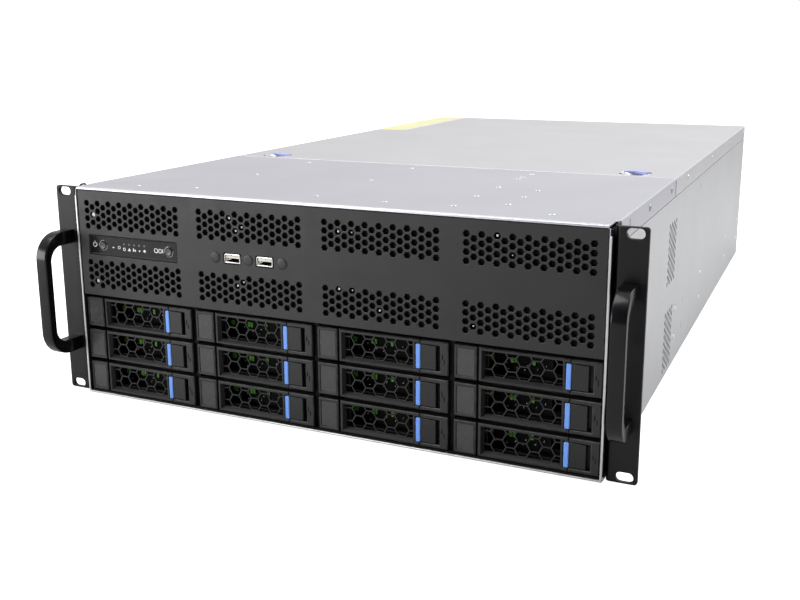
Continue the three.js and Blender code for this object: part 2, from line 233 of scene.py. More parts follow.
def along_x(x):
    """A section drawn in (y, z) and carried to the right from x."""
    return lambda u, v, w: Vector((x + w, u, v))


class Folded:
    """A face bent along a line of 2-D points, such as a bent sheet's outer skin."""

    def __init__(self, line, inwards, place):
        self.line = [Vector(p) for p in line]
        self.place = place
        self.along = [0.0]
        for a, b in zip(self.line, self.line[1:]):
            self.along.append(self.along[-1] + (b - a).length)
        self.mitres = []
        for i, p in enumerate(self.line):
            a = (p - self.line[i - 1]).normalized() if i else None
            b = (self.line[i + 1] - p).normalized() if i + 1 < len(self.line) else None
            a, b = a or b, b or a
            na, nb = Vector((-a.y, a.x)), Vector((-b.y, b.x))
            self.mitres.append((na + nb) * inwards / (1 + na.dot(nb)))
        self.folds = self.along[1:-1]
        self.length = self.along[-1]

    def __call__(self, u, v, w):
        i = 0
        while i < len(self.line) - 2 and u > self.along[i + 1]:
            i += 1
        t = (u - self.along[i]) / (self.along[i + 1] - self.along[i])
        a = self.line[i] + self.mitres[i] * w
        b = self.line[i + 1] + self.mitres[i + 1] * w
        return self.place(a.lerp(b, t), v)

    def u_at(self, x, y):
        """How far along the line the nearest place to (x, y) is."""
        best = None
        for i, (a, b) in enumerate(zip(self.line, self.line[1:])):
            d = b - a
            t = max(0, min(1, (Vector((x, y)) - a).dot(d) / d.length_squared))
            away = (a + d * t - Vector((x, y))).length
            if best is None or away < best[0]:
                best = (away, self.along[i] + d.length * t)
        return best[1]


# ------------------------------------------------------------------ shells
class Shell:
    """One piece's surface, gathered ring by ring."""

    def __init__(self):
        self.points, self.faces, self.worn, self.smooth = [], [], [], []

    def ring(self, loop, face, depth):
        first = len(self.points)
        self.points.extend(face(u, v, depth) for u, v in loop)
        return list(range(first, len(self.points)))

    def add(self, corners, worn=0.0, smooth=False):
        self.faces.append(corners)
        self.worn.append(worn)
        self.smooth.append(smooth)

    def band(self, a, b, worn=0.0, smooth=False):
        for i in range(len(a)):
            j = (i + 1) % len(a)
            self.add((a[i], a[j], b[j], b[i]), worn, smooth)

    def cap(self, loops, rings, folds=()):
        """Fills the first loop, less the others."""
        flat = [Vector(p) for loop in loops for p in loop]
        index = [i for ring in rings for i in ring]
        owner = [k for k, loop in enumerate(loops) for _ in loop]
        edges, start = [], 0
        for loop in loops:
            count = len(loop)
            edges += [(start + i, start + (i + 1) % count) for i in range(count)]
            start += count
        for fold in folds:
            on = sorted((v, i) for i, (u, v) in enumerate(loops[0]) if abs(u - fold) < 1e-4)
            edges += [(a[1], b[1]) for a, b in zip(on[::2], on[1::2])]
        _, _, triangles, origin, _, _ = delaunay_2d_cdt(flat, edges, [], 0, 1e-7)
        for triangle in triangles:
            ids = [origin[t][0] for t in triangle if origin[t]]
            if len(ids) < 3:
                raise ValueError(f"cut loops cross in a face that starts at {tuple(loops[0][0])}")
            owners = {owner[i] for i in ids}
            if len(owners) == 1:
                k = owners.pop()
                middle = (flat[ids[0]] + flat[ids[1]] + flat[ids[2]]) / 3
                if inside(middle, loops[k]) != (k == 0):
                    continue
            self.add([index[i] for i in ids])

    def plate(self, face, outer, thick, cuts=(), rim=0.2, back_rim=0.0, folds=(), worn=1.0):
        """A sheet or block. Each cut is (loop, depth or None for right through, rim, far loop),
        of which the last two may be left out."""
        outer = anticlockwise(outer)
        front, side = split(offset(outer, rim), folds), split(outer, folds)
        back = split(offset(outer, back_rim), folds)
        levels = [(front, 0, worn)] if rim else []
        levels += [(side, rim, 0), (side, thick - back_rim, 0 if not back_rim else worn)]
        levels += [(back, thick, 0)] if back_rim else []
        rings = self.wall(face, levels)
        mouths, through = [], []
        for cut in cuts:
            loop, depth, lip, far = (*cut, None, None, None)[:4]
            loop = anticlockwise(loop)
            lip = rim if lip is None else lip
            far = anticlockwise(far) if far else loop
            levels = [(offset(loop, -lip), 0, worn)] if lip else []
            levels += [(loop, lip, 0)]
            levels += [(far, thick if depth is None else depth, 0)]
            hole = self.wall(face, levels)
            mouths.append((levels[0][0], hole[0]))
            if depth is None:
                through.append((far, hole[-1]))
            else:
                self.cap([far], [hole[-1]])
        first = front if rim else side
        last = back if back_rim else side
        self.cap([first] + [m[0] for m in mouths], [rings[0]] + [m[1] for m in mouths], folds)
        self.cap([last] + [m[0] for m in through], [rings[-1]] + [m[1] for m in through], folds)
        return self

    def wall(self, face, levels):
        rings = [self.ring(loop, face, depth) for loop, depth, _ in levels]
        for k in range(len(rings) - 1):
            self.band(rings[k], rings[k + 1], levels[k][2])
        return rings

    def turned(self, face, u, v, profile, steps=24):
        """A round body about (u, v), from (radius, depth) points that start and end at radius 0."""
        rings = [
            [self._point(face(u, v, w))] if r == 0
            else self.ring(circle(u, v, r, steps), face, w)
            for r, w in profile
        ]
        for a, b in zip(rings, rings[1:]):
            if len(a) == 1 or len(b) == 1:
                tip, ring = (a[0], b) if len(a) == 1 else (b[0], a)
                for i in range(steps):
                    self.add((tip, ring[i], ring[(i + 1) % steps]), 0.0, True)
            else:
                self.band(a, b, 0.0, True)
        return self

    def _point(self, p):
        self.points.append(p)
        return len(self.points) - 1

    def pillow(self, face, loop, thick, radius, steps=6):
        """A block whose front and back edges are rounded off."""
        loop = anticlockwise(loop)
        turns = [math.pi / 2 * k / steps for k in range(steps + 1)]
        nose = [(radius * (1 - math.sin(a)), radius * (1 - math.cos(a))) for a in turns]
        stages = nose + [(inset, thick - depth) for inset, depth in reversed(nose)]
        loops = [offset(loop, inset) for inset, _ in stages]
        rings = [self.ring(l, face, depth) for l, (_, depth) in zip(loops, stages)]
        for a, b in zip(rings, rings[1:]):
            self.band(a, b, 0.0, True)
        self.cap([loops[0]], [rings[0]])
        self.cap([loops[-1]], [rings[-1]])
        return self

    def screw(self, face, u, v, radius, proud=0.4, thick=1.4):
        """A flat cross-head screw."""
        lifted = lambda a, b, w: face(a, b, w - proud)
        recess = (cross(u, v, radius * 0.55, radius * 0.13), 0.8, 0.05)
        return self.plate(lifted, circle(u, v, radius, 20), thick, [recess], rim=radius * 0.12)

    def mesh(self, name, material):
        mesh = bpy.data.meshes.new(name)
        mesh.from_pydata([p * MM for p in self.points], [], self.faces)
        mesh.attributes.new("worn", "FLOAT", "FACE").data.foreach_set("value", self.worn)
        mesh.polygons.foreach_set("use_smooth", self.smooth)
        bm = bmesh.new()
        bm.from_mesh(mesh)
        bmesh.ops.recalc_face_normals(bm, faces=bm.faces)
        bm.to_mesh(mesh)
        bm.free()
        mesh.set_sharp_from_angle(angle=math.radians(40))
        mesh.materials.append(material)
        return mesh


# ------------------------------------------------------------------ materials
def add_node(tree, kind, inputs=None, **settings):
    """A shader node. An input that is another node's socket is linked, and any other is set."""
    node = tree.nodes.new("ShaderNode" + kind)
    for key, value in settings.items():
        setattr(node, key, value)
    for key, value in (inputs or {}).items():
        if isinstance(value, bpy.types.NodeSocket):
            tree.links.new(value, node.inputs[key])
        else:
            node.inputs[key].default_value = value
    return node


class Finish:
    """A node material on Object coordinates, with a few shorthands."""

    def __init__(self, name, colour, metallic=0.0, **sockets):
        self.material = bpy.data.materials.new(name)
        self.material.use_nodes = True
        self.tree = self.material.node_tree
        self.shader = self.tree.nodes["Principled BSDF"]
        self.shader.inputs["Metallic"].default_value = metallic
        for socket, value in sockets.items():
            self.shader.inputs[socket.replace("_", " ")].default_value = value
        self.material.diffuse_color = (*colour, 1)
        self.place = self.node("TexCoord").outputs["Object"]
        self.colour = colour

    def node(self, kind, inputs=None, **settings):
        return add_node(self.tree, kind, inputs, **settings)

    def noise(self, size, detail=3.0, stretch=(1, 1, 1), shift=0.0):
        """Noise whose clouds are about `size` mm across, from 0 to 1."""
        place = self.node("Mapping", {"Vector": self.place, "Scale": stretch, "Location": (shift,) * 3})
        inputs = {"Vector": place.outputs[0], "Scale": 1 / (size * MM), "Detail": detail}
        return self.node("TexNoise", inputs).outputs["Fac"]

    def ramp(self, value, low, high, to_low=0.0, to_high=1.0):
        inputs = {"Value": value, "From Min": low, "From Max": high, "To Min": to_low, "To Max": to_high}
        return self.node("MapRange", inputs).outputs[0]

    def mix(self, share, a, b):
        inputs = {0: share, 6: a if not isinstance(a, tuple) else (*a, 1)}
        inputs[7] = b if not isinstance(b, tuple) else (*b, 1)
        return self.node("Mix", inputs, data_type="RGBA").outputs[2]

    def bump(self, height, depth, below=None):
        inputs = {"Height": height, "Distance": depth * MM, "Strength": 1.0}
        if below is not None:
            inputs["Normal"] = below
        return self.node("Bump", inputs).outputs["Normal"]

    def drive(self, socket, value):
        self.tree.links.new(value, self.shader.inputs[socket])


def shade(colour, by):
    return tuple(min(1.0, c * by) for c in colour)


def surface(name, colour, rough, metallic=0.0, drift=0.08, cloud=20, grain=0.4, height=0.006,
            stretch=(1, 1, 1), wear=None, wear_share=0.5, grain_tint=0.04, **sockets):
    """A finish whose colour and roughness drift in clouds, with a fine grain in relief. wear is
    the colour that its edges are rubbed to."""
    f = Finish(name, colour, metallic, **sockets)
    clouds = f.noise(cloud, 4)
    fine = f.noise(grain, 2, stretch)
    base = f.mix(f.ramp(clouds, 0.3, 0.7), shade(colour, 1 - drift), shade(colour, 1 + drift))
    base = f.mix(f.ramp(fine, 0.35, 0.65, 0, grain_tint * 2), base, shade(colour, 1.5))
    roughness = f.ramp(f.noise(cloud / 4, 3, shift=3.0), 0.3, 0.7, *rough)
    if wear:
        edge = f.node("Attribute", attribute_name="worn").outputs["Fac"]
        patch = f.ramp(f.noise(7, 3, shift=5.0), 0.35, 0.65)
        share = f.node("Math", {0: edge, 1: patch}, operation="MULTIPLY").outputs[0]
        share = f.ramp(share, 0, 1, 0, wear_share)
        base = f.mix(share, base, wear)
    f.drive("Base Color", base)
    f.drive("Roughness", roughness)
    f.drive("Normal", f.bump(fine, height))
    return f


def circuit_board(name):
    """Green solder mask over a net of traces, with bare tinned pads."""
    f = Finish(name, (0.02, 0.16, 0.05))
    lines = f.node("TexVoronoi", {"Vector": f.place, "Scale": 1 / (4.5 * MM)},
                   distance="CHEBYCHEV", feature="F2").outputs["Distance"]
    near = f.node("TexVoronoi", {"Vector": f.place, "Scale": 1 / (4.5 * MM)},
                  distance="CHEBYCHEV", feature="F1").outputs["Distance"]
    gap = f.node("Math", {0: lines, 1: near}, operation="SUBTRACT").outputs[0]
    trace = f.ramp(gap, 0.05, 0.12, 1, 0)
    pad = f.ramp(near, 0.1, 0.14, 1, 0)
    mask = f.mix(f.ramp(f.noise(25, 3), 0.3, 0.7), (0.012, 0.11, 0.035), (0.03, 0.2, 0.06))
    traced = f.mix(trace, mask, (0.06, 0.3, 0.1))
    f.drive("Base Color", f.mix(pad, traced, (0.6, 0.58, 0.5)))
    f.drive("Roughness", f.ramp(f.noise(8, 2), 0.3, 0.7, 0.28, 0.45))
    f.drive("Normal", f.bump(f.node("Math", {0: trace, 1: pad}, operation="ADD").outputs[0], 0.04))
    return f


def sheet_steel(name, colour, rough=(0.385, 0.415)):
    return surface(name, colour, rough, 0.85, drift=0.03, cloud=90, grain=0.9, height=0.004,
                   stretch=(1, 0.12, 1), wear=(0.85, 0.86, 0.88), wear_share=0.7, grain_tint=0.02)


STEEL = sheet_steel("zinc_steel", (0.665, 0.67, 0.685))
COVER_STEEL = sheet_steel("cover_steel", (0.6, 0.6, 0.65))
LID_STEEL = sheet_steel("lid_steel", (0.675, 0.672, 0.7))
CAGE_STEEL = surface("cage_steel", (0.42, 0.43, 0.44), (0.38, 0.5), 0.8, drift=0.06, cloud=60, grain=0.6,
                     height=0.01, Specular_IOR_Level=0.1)
POWDER = surface("black_steel", (0.012, 0.012, 0.0125), (0.48, 0.58), drift=0.1, cloud=60, grain=0.7,
                 height=0.015, wear=(0.1, 0.1, 0.104))
EAR_BLACK = surface("ear_black", (0.005, 0.005, 0.0053), (0.34, 0.44), drift=0.1, cloud=40, grain=0.7,
                    height=0.012, wear=(0.06, 0.06, 0.064), Specular_IOR_Level=0.28)
SATIN = surface("satin_black", (0.004, 0.004, 0.005), (0.17, 0.24), drift=0.12, cloud=30, grain=0.35,
                height=0.003, grain_tint=0.02, Specular_IOR_Level=0.32)
PLASTIC = surface("black_plastic", (0.0125, 0.012, 0.012), (0.42, 0.54), cloud=35, grain=0.5,
                  height=0.014, wear=(0.11, 0.108, 0.106))
DARK_PLASTIC = surface("dark_plastic", (0.012, 0.012, 0.0125), (0.34, 0.44), height=0.008,
                       wear=(0.06, 0.06, 0.062))
PAD_PLASTIC = surface("pad_plastic", (0.008, 0.008, 0.0082), (0.4, 0.5), height=0.008,
                      wear=(0.05, 0.05, 0.05))
GREY_PLASTIC = surface("grey_plastic", (0.07, 0.07, 0.072), (0.35, 0.45), drift=0.06, cloud=6)
# Near-black: painted shade in most of its uses, behind holes and in gaps, slits and hollows; the trays'
# dark card is its only other use.
DEEP_BLACK = surface("deep_black", (0.004, 0.004, 0.004), (0.7, 0.9), drift=0.1, grain=1.2,
                     height=0.05, Specular_IOR_Level=0.2)
LABEL = surface("label_film", (0.052, 0.051, 0.05), (0.22, 0.3), drift=0.06, cloud=14, grain=2,
                height=0.004)
LABEL_PALE = surface("label_pale", (0.66, 0.65, 0.6), (0.4, 0.5), drift=0.05, cloud=30, grain=0.8,
                     height=0.004)
GLOSS = surface("gloss_black", (0.01, 0.01, 0.011), (0.12, 0.2), cloud=25, grain=4, Specular_IOR_Level=0.35)
BLUE = surface("blue_plastic", (0.16, 0.36, 0.95), (0.3, 0.4), drift=0.06, cloud=12, grain=0.5,
               wear=(0.45, 0.62, 1.0))
PALE_BLUE = surface("pale_blue", (0.36, 0.4, 0.78), (0.3, 0.4), drift=0.06, cloud=12, grain=0.5,
                    wear=(0.6, 0.66, 0.95))
# The rivets' zinc, lightened to a pale greenish white: partly painted highlight.
RIVET_HIGHLIGHT = surface("rivet_zinc_and_highlight", (0.86, 0.93, 0.91), (0.35, 0.45), 0.1, drift=0.05, cloud=6, height=0.003)
SCREW = surface("screw_zinc", (0.38, 0.4, 0.43), (0.25, 0.35), 1.0, drift=0.1, cloud=5, height=0.003)
BRIGHT = surface("bright_steel", (0.75, 0.74, 0.71), (0.2, 0.32), 1.0, drift=0.06, cloud=6, height=0.003)
GOLD = surface("contact_gold", (0.86, 0.62, 0.24), (0.22, 0.34), 1.0, cloud=4, grain=0.3, height=0.002)
PALE = surface("pale_plastic", (0.72, 0.7, 0.64), (0.4, 0.5), drift=0.05, cloud=8, height=0.01)
DIM_LAMP = surface("dim_lamp", (0.16, 0.16, 0.16), (0.3, 0.4), drift=0.05, cloud=3, grain=0.3, height=0.004)
MARKS = surface("pale_print", (0.8, 0.8, 0.8), (0.45, 0.55), drift=0.06, cloud=3, grain=0.25, height=0.004)
TAB_GREEN = surface("tab_green", (0.1, 0.37, 0.02), (0.35, 0.5), drift=0.1, cloud=3)
YELLOW = surface("label_yellow", (0.78, 0.74, 0.36), (0.36, 0.46), drift=0.06, cloud=50, grain=0.8,
                 height=0.004)
BOARD = circuit_board("board_green")


# ------------------------------------------------------------------ pieces
def place(name, mesh, body, replaces=(), at=(0, 0, 0)):
    piece = bpy.data.objects.new(name, mesh)
    bpy.context.scene.collection.objects.link(piece)
    piece.location = Vector(at) * MM
    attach(piece, body)
    if replaces:
        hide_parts(*replaces)
    return piece


def make(name, shell, finish, body="case", replaces=()):
    return place(name, shell.mesh(name, finish.material), body, replaces)


def brick(shell, x, y, z, corner=0.4):
    """A block with eased edges, from (low, high) pairs."""
    return shell.plate(facing_front(y[0]), soft_rect(*x, *z, corner, 2), y[1] - y[0],
                       rim=corner, back_rim=corner)


# ------------------------------------------------------------------ case sheets
def xz_fold(line):
    """A skin along a line in X and Z, drawn from left to right over the bottom, inwards up."""
    return Folded(line, 1, lambda p, v: Vector((p.x, v, p.y)))


RIVETS = [(y, z) for y in (265, 420, 634, 757) for z in (27, 53)]
SIDE_SLITS = [(308, 26.4), (308, 50.8), (387, 148.7), (578, 121.5), (651, 92.4)]
VENTS = {"y": 232, "z": (33.9, 111.5)}
STRIP = {"outer": 0.9, "wide": 1.6, "deep": 1.2, "high": 168}  # the bright edge about the front
NEAR = HALF - STRIP["outer"] - STRIP["wide"]  # the strips' inner sides
SET_BACK = EAR_FACE + 13.5  # where the side walls start, behind the ears


def build_pan():
    tuck = SHEET + GAP
    step = COVER_LOW.z - GAP
    high = TOP - tuck - 0.1
    right = [(HALF - tuck, high), (HALF - tuck, step - 0.4), (HALF, step - 0.4), (HALF, 0)]
    left = [(-x, z) for x, z in right]
    radii = [0, 0.3, 0.3, 2.2, 2.2, 0.3, 0.3, 0]
    skin = xz_fold(rounded([*left, *reversed(right)], radii, 5, closed=False))
    cuts = []
    for x in (-HALF, HALF):
        for z in VENTS["z"]:
            for loop in honeycomb(EAR_FACE + VENTS["y"], z, 7, 9):
                cuts.append(([(skin.u_at(x, up), along) for along, up in loop], None, 0.15))
        for y, z in SIDE_SLITS:
            u, v = skin.u_at(x, z), EAR_FACE + y
            cuts.append((soft_rect(u - 3.2, u + 3.2, v - 0.8, v + 0.8, 0.7, 3), 0.9, 0.1))
        for y, z in RIVETS:
            cuts.append((circle(skin.u_at(x, z), EAR_FACE + y, 3.9), 1.0, 0.1))
    wall = skin.u_at(-HALF, 3.5)
    full, lip = skin.length, FRONT + 1.3
    outline = [(0, SET_BACK), (wall, SET_BACK), (wall, lip), (full - wall, lip), (full - wall, SET_BACK),
               (full, SET_BACK), (full, REAR), (0, REAR)]
    shell = Shell().plate(skin, outline, SHEET, cuts, rim=0.2, back_rim=0.2, folds=skin.folds)
    far, behind = NEAR + STRIP["wide"], FRONT + STRIP["deep"]
    for x in ((-far, -NEAR), (NEAR, far)):
        brick(shell, x, (FRONT, behind), (1.5, STRIP["high"]), 0.35)
    brick(shell, (-far, far), (FRONT, behind), (0, 1.4), 0.4)
    make("pan_shell", shell, STEEL, replaces=["base_pan"])

    # Near-black sheets behind the front strips: painted shade, so the gaps about the strips stay dark.
    shade_sheets = Shell()
    for x in ((-far, 0.6 - NEAR), (NEAR - 0.6, far)):
        brick(shade_sheets, x, (behind + 0.1, EAR_FACE + 13), (2.5, 172), 0.2)
    brick(shade_sheets, (0.6 - NEAR, NEAR - 0.6), (behind + 0.1, EAR_FACE + 11), (SHEET + 0.1, 2.4), 0.2)
    make("front_painted_shade", shade_sheets, DEEP_BLACK)

    rivets = Shell()
    dome = [(0, -1.0), (1.2, -0.9), (2.3, -0.5), (2.8, 0.1), (2.8, 0.95), (0, 0.95)]
    for x in (-HALF, HALF):
        for y, z in RIVETS:
            rivets.turned(facing_side(x), EAR_FACE + y, z, dome, 20)
    make("side_rivets", rivets, RIVET_HIGHLIGHT)


def cover_skin():
    low = COVER_LOW.z
    line = [(-HALF, low), (-HALF, TOP), (HALF, TOP), (HALF, low)]
    return Folded(rounded(line, 1.8, 6, closed=False), -1, lambda p, v: Vector((p.x, v, p.y)))


COVER_SCREWS = [
    (-122, 28), (-122, 117), (-122, 209), (-13, 29), (-13, 123), (-13, 207), (99, 28), (99, 75),
    (99, 125), (99, 176), (99, 189), (101, 209), (133, 48), (133, 85), (133, 120), (47, 24), (173, 20),
    (-173, 20),
]


def build_front_cover():
    skin = cover_skin()
    dishes = [(circle(skin.u_at(x, TOP), EAR_FACE + y, 2.4, 20), 0.6, 0.3) for x, y in COVER_SCREWS]
    hem, full = FRONT + 2.6, skin.length
    corner = skin.u_at(2.6 - HALF, TOP)
    outline = [(0, SET_BACK), (corner, SET_BACK), (corner, hem), (full - corner, hem),
               (full - corner, SET_BACK), (full, SET_BACK), (full, COVER_HIGH.y), (0, COVER_HIGH.y)]
    shell = Shell().plate(skin, outline, SHEET, dishes, rim=0.2, back_rim=0.2, folds=skin.folds, worn=0.3)
    lip = HALF - 2 * (SHEET + GAP)
    section = soft_rect(FRONT, FRONT + 2.5, TOP - 1.9, TOP, [0.3, 0.3, 0.3, 1.4], 5)
    shell.plate(along_x(-lip), section, 2 * lip, rim=0.05, back_rim=0.05)
    for x in ((-NEAR - 0.6, -NEAR), (NEAR, NEAR + 0.6)):
        brick(shell, x, (FRONT, FRONT + 1.2), (STRIP["high"] + 0.1, TOP - 2), 0.2)
    make("front_cover_sheet", shell, COVER_STEEL, replaces=["front_cover"])

    screws = Shell()
    for x, y in COVER_SCREWS:
        screws.screw(facing_up(TOP - 0.6), x, EAR_FACE + y, 2.1, proud=0.25, thick=0.55)
    for x in (-HALF, HALF):
        for y in (24, 118, 212):
            screws.screw(facing_side(x), EAR_FACE + y, TOP - 7.5, 2.8, proud=0.5, thick=0.6)
    make("cover_screws", screws, SCREW)

    # Near-black marks on the cover's sides: painted shade standing in for a small pressed slit on each
    # side.
    slit_shade = Shell()
    for x in (-HALF, HALF):
        y = EAR_FACE + 46
        slit_shade.plate(facing_side(x), soft_rect(y - 0.7, y + 0.7, 163, 171.5, 0.6, 3), 0.3, rim=0.0)
    make("cover_painted_slit_shade", slit_shade, DEEP_BLACK)


LID_SCREWS = (-150, -50, 50, 150)


def build_rear_lid():
    skin = cover_skin()
    cuts = []
    for side in ("left", "right"):
        latch = middle_of(f"lid_latch_{side}")
        cuts.append((circle(skin.u_at(latch.x, TOP), latch.y, 13.5, 40), None, 0.5))
    for x in LID_SCREWS:
        cuts.append((circle(skin.u_at(x, TOP), REAR - 9, 2.2, 16), 0.45, 0.5))
    shell = Shell().plate(skin, rect(0, skin.length, LID_LOW.y, LID_HIGH.y), SHEET, cuts,
                          rim=0.2, back_rim=0.2, folds=skin.folds, worn=0.3)
    for x0, x1 in ((-HALF - 0.5, -HALF), (HALF, HALF + 0.5)):
        brick(shell, (x0, x1), (LID_LOW.y, LID_LOW.y + 3), (LID_LOW.z + 0.5, TOP - 2), 0.2)
    make("rear_lid_sheet", shell, LID_STEEL, "rear_lid", ["rear_lid"])

    screws = Shell()
    for x in LID_SCREWS:
        screws.screw(facing_up(TOP - 0.45), x, REAR - 9, 2.0, proud=0.25, thick=0.7)
    for x in (-HALF, HALF):
        for y in (300, 461, 620, 770):
            screws.screw(facing_side(x), EAR_FACE + y, TOP - 7.5, 2.6, proud=0.4, thick=0.5)
    make("lid_screws", screws, BRIGHT, "rear_lid")

    low_y, high_y = EAR_FACE + 561, REAR - 4
    stickers = {"yellow_sticker": (-217.5, -187.1, YELLOW), "sticker_edge": (-187, -178, LABEL_PALE)}
    for name, (x0, x1, finish) in stickers.items():
        outline = soft_rect(x0, x1, low_y, high_y, 0.8, 2)
        make(name, Shell().plate(facing_up(TOP + 0.16), outline, 0.13, rim=0.03), finish, "rear_lid")


def build_lid_latches():
    for side in ("left", "right"):
        name = f"lid_latch_{side}"
        x, y, _ = middle_of(name)
        face = facing_up(TOP)
        cup = [(0, 3.2), (8.2, 3.0), (9.6, 1.2), (10.4, 0.15), (12.4, 0.1), (12.9, 0.5), (12.9, 5.8),
               (0, 5.8)]
        make(f"latch_cup_{side}", Shell().turned(face, x, y, cup, 40), STEEL, name, [name])
        outer = [(x + 13 * math.cos(a), y + 13 * math.sin(a))
                 for a in (math.radians(22 + 136 * k / 24) for k in range(25))]
        inner = [(x - 1.6 + 11.4 * math.cos(a), y - 3.6 + 11.4 * math.sin(a))
                 for a in (math.radians(145 - 110 * k / 20) for k in range(21))]
        touch = Shell().plate(facing_up(TOP + 1.0), outer + inner, 2.4, rim=0.4)
        make(f"latch_touch_{side}", touch, PALE_BLUE, name)
        slot = Shell().plate(facing_up(TOP - 2.6), soft_rect(x - 5, x + 5, y - 3.6, y - 1.4, 1, 3),
                             0.8, rim=0.2)
        make(f"latch_slot_{side}", slot, DARK_PLASTIC, name)
        # Near-black arcs in front of each latch cup: painted shade at the cup's front rim.
        marks = Shell()
        for start, sweep in ((196, 24), (260, 42)):
            marks.plate(facing_up(TOP + 0.12), arc(x, y, 14, 0.9, start, sweep), 0.1, rim=0.0)
        make(f"latch_marks_{side}", marks, DEEP_BLACK, "rear_lid")


# ------------------------------------------------------------------ ears and handles
SLOT_RISE = 82.55  # half of the rack's spacing between a 4U front's outer slots


def build_ears():
    for side, sign in (("left", -1), ("right", 1)):
        inner, outer = HALF + GAP, EAR_HIGH.x
        line = [(sign * outer, EAR_FACE), (sign * inner, EAR_FACE), (sign * inner, EAR_FACE + 28)]
        skin = Folded(rounded(line, 3.2, 6, closed=False), -sign, lambda p, v: Vector((p.x, p.y, v)))
        low, high = EAR_LOW.z, EAR_HIGH.z
        shoulder = skin.folds[-1] + 1.7
        outline = [(0, low), (skin.length, low), (skin.length, high - 9), (shoulder, high - 9),
                   (shoulder, high), (0, high)]
        outline = rounded(outline, [2.2, 1.5, 4, 0, 1.2, 2.2], 6)
        slots = [(soft_rect(2.75, 14.75, z - 3.5, z + 3.5, 3.45, 8), None, 0.4)
                 for z in (MIDDLE - SLOT_RISE, MIDDLE + SLOT_RISE)]
        shell = Shell().plate(skin, outline, 3.0, slots, rim=0.4, back_rim=0.25, folds=skin.folds,
                              worn=0.4)
        make(f"ear_plate_{side}", shell, EAR_BLACK, replaces=[f"ear_{side}"])
        screws = Shell()
        for z in (28, MIDDLE, TOP - 28):
            screws.screw(facing_side(sign * (inner + 3.0)), EAR_FACE + 17, z, 3.0, proud=0.6, thick=0.8)
        make(f"ear_screws_{side}", screws, DARK_PLASTIC)
        loop = soft_rect(EAR_FACE + 4, EAR_FACE + 13, 160, 176, 3, 5)
        eye = soft_rect(EAR_FACE + 5.6, EAR_FACE + 11.4, 170, 174.6, 1.6, 4)
        hook = Shell().plate(facing_side(sign * (inner + 1.1)), loop, 0.9, [(eye, None, 0.2)], rim=0.2,
                             back_rim=0.2)
        make(f"ear_hook_{side}", hook, DARK_PLASTIC)


HANDLE = {"grip": 7, "foot": 11, "bend": 21, "crook": 12, "edge": 1.1}


def build_handles():
    for side in ("left", "right"):
        low, high = node_box(f"handle_{side}")
        grip, foot, bend, crook = (HANDLE[k] for k in ("grip", "foot", "bend", "crook"))
        outline = [(high.y, high.z), (low.y, high.z), (low.y, low.z), (high.y, low.z),
                   (high.y, low.z + foot), (low.y + grip, low.z + foot), (low.y + grip, high.z - foot),
                   (high.y, high.z - foot)]
        outline = rounded(outline, [0, bend, bend, 0, 0, crook, crook, 0], 16)
        bow = Shell().pillow(along_x(low.x), outline, high.x - low.x, HANDLE["edge"])
        make(f"handle_bow_{side}", bow, SATIN, replaces=[f"handle_{side}"])


# ------------------------------------------------------------------ front panel
BLOCK_X = (-163.8, -54.6, 54.6, 163.8)
BLOCK_Z = (152.8, 103.9)
USB_X, USB_Z, USB_SPREAD = -54.6, 128, 14.3
PLUG_RADIUS = 4.25


def build_grille():
    cuts = [(loop, None, 0.28) for x in BLOCK_X for z in BLOCK_Z for loop in honeycomb(x, z, 17, 4)]
    low, high = CONTROL_LOW, CONTROL_HIGH
    cuts.append((soft_rect(low.x - 0.2, high.x + 0.2, low.z - 0.2, high.z + 0.2, 0.8, 3), None, 0.5))
    for k in (-1, 1):
        x = USB_X + k * USB_SPREAD
        cuts.append((soft_rect(x - 7.9, x + 7.9, USB_Z - 4.4, USB_Z + 4.4, 1.0, 3), None, 0.15))
    for k in (-2, 0, 2):
        cuts.append((circle(USB_X + k * USB_SPREAD * 1.035, USB_Z + 0.1, PLUG_RADIUS - 0.2), None, 0.2))
    outline = soft_rect(GRILLE_LOW.x, GRILLE_HIGH.x, GRILLE_LOW.z, GRILLE_HIGH.z, 0.8, 3)
    shell = Shell().plate(facing_front(GRILLE_LOW.y), outline, 2.0, cuts, rim=0.4)
    make("grille_sheet", shell, POWDER, replaces=["grille_panel"])

    plugs = Shell()
    r = PLUG_RADIUS
    for k in (-2, 0, 2):
        profile = [(0, -0.6), (r * 0.7, -0.55), (r - 0.3, -0.42), (r + 0.15, -0.03), (r - 0.6, -0.03),
                   (r - 0.6, 2.4), (0, 2.4)]
        plugs.turned(facing_front(GRILLE_LOW.y), USB_X + k * USB_SPREAD * 1.035, USB_Z + 0.1, profile)
    make("blanking_plugs", plugs, PLASTIC)

    # A near-black sheet lies behind the holes: painted shade that keeps them dark.
    shade_outline = soft_rect(GRILLE_LOW.x + 2, GRILLE_HIGH.x - 2, GRILLE_LOW.z + 1, GRILLE_HIGH.z - 1, 1, 2)
    holes = [(rect(low.x - 1, high.x + 1, low.z - 1, high.z + 1), None, 0.0),
             (rect(USB_X - 36, USB_X + 36, USB_Z - 6, USB_Z + 6), None, 0.0)]
    grille_shade_shell = Shell().plate(facing_front(GRILLE_HIGH.y + 0.9), shade_outline, 2.0, holes)
    make("grille_painted_shade", grille_shade_shell, DEEP_BLACK)


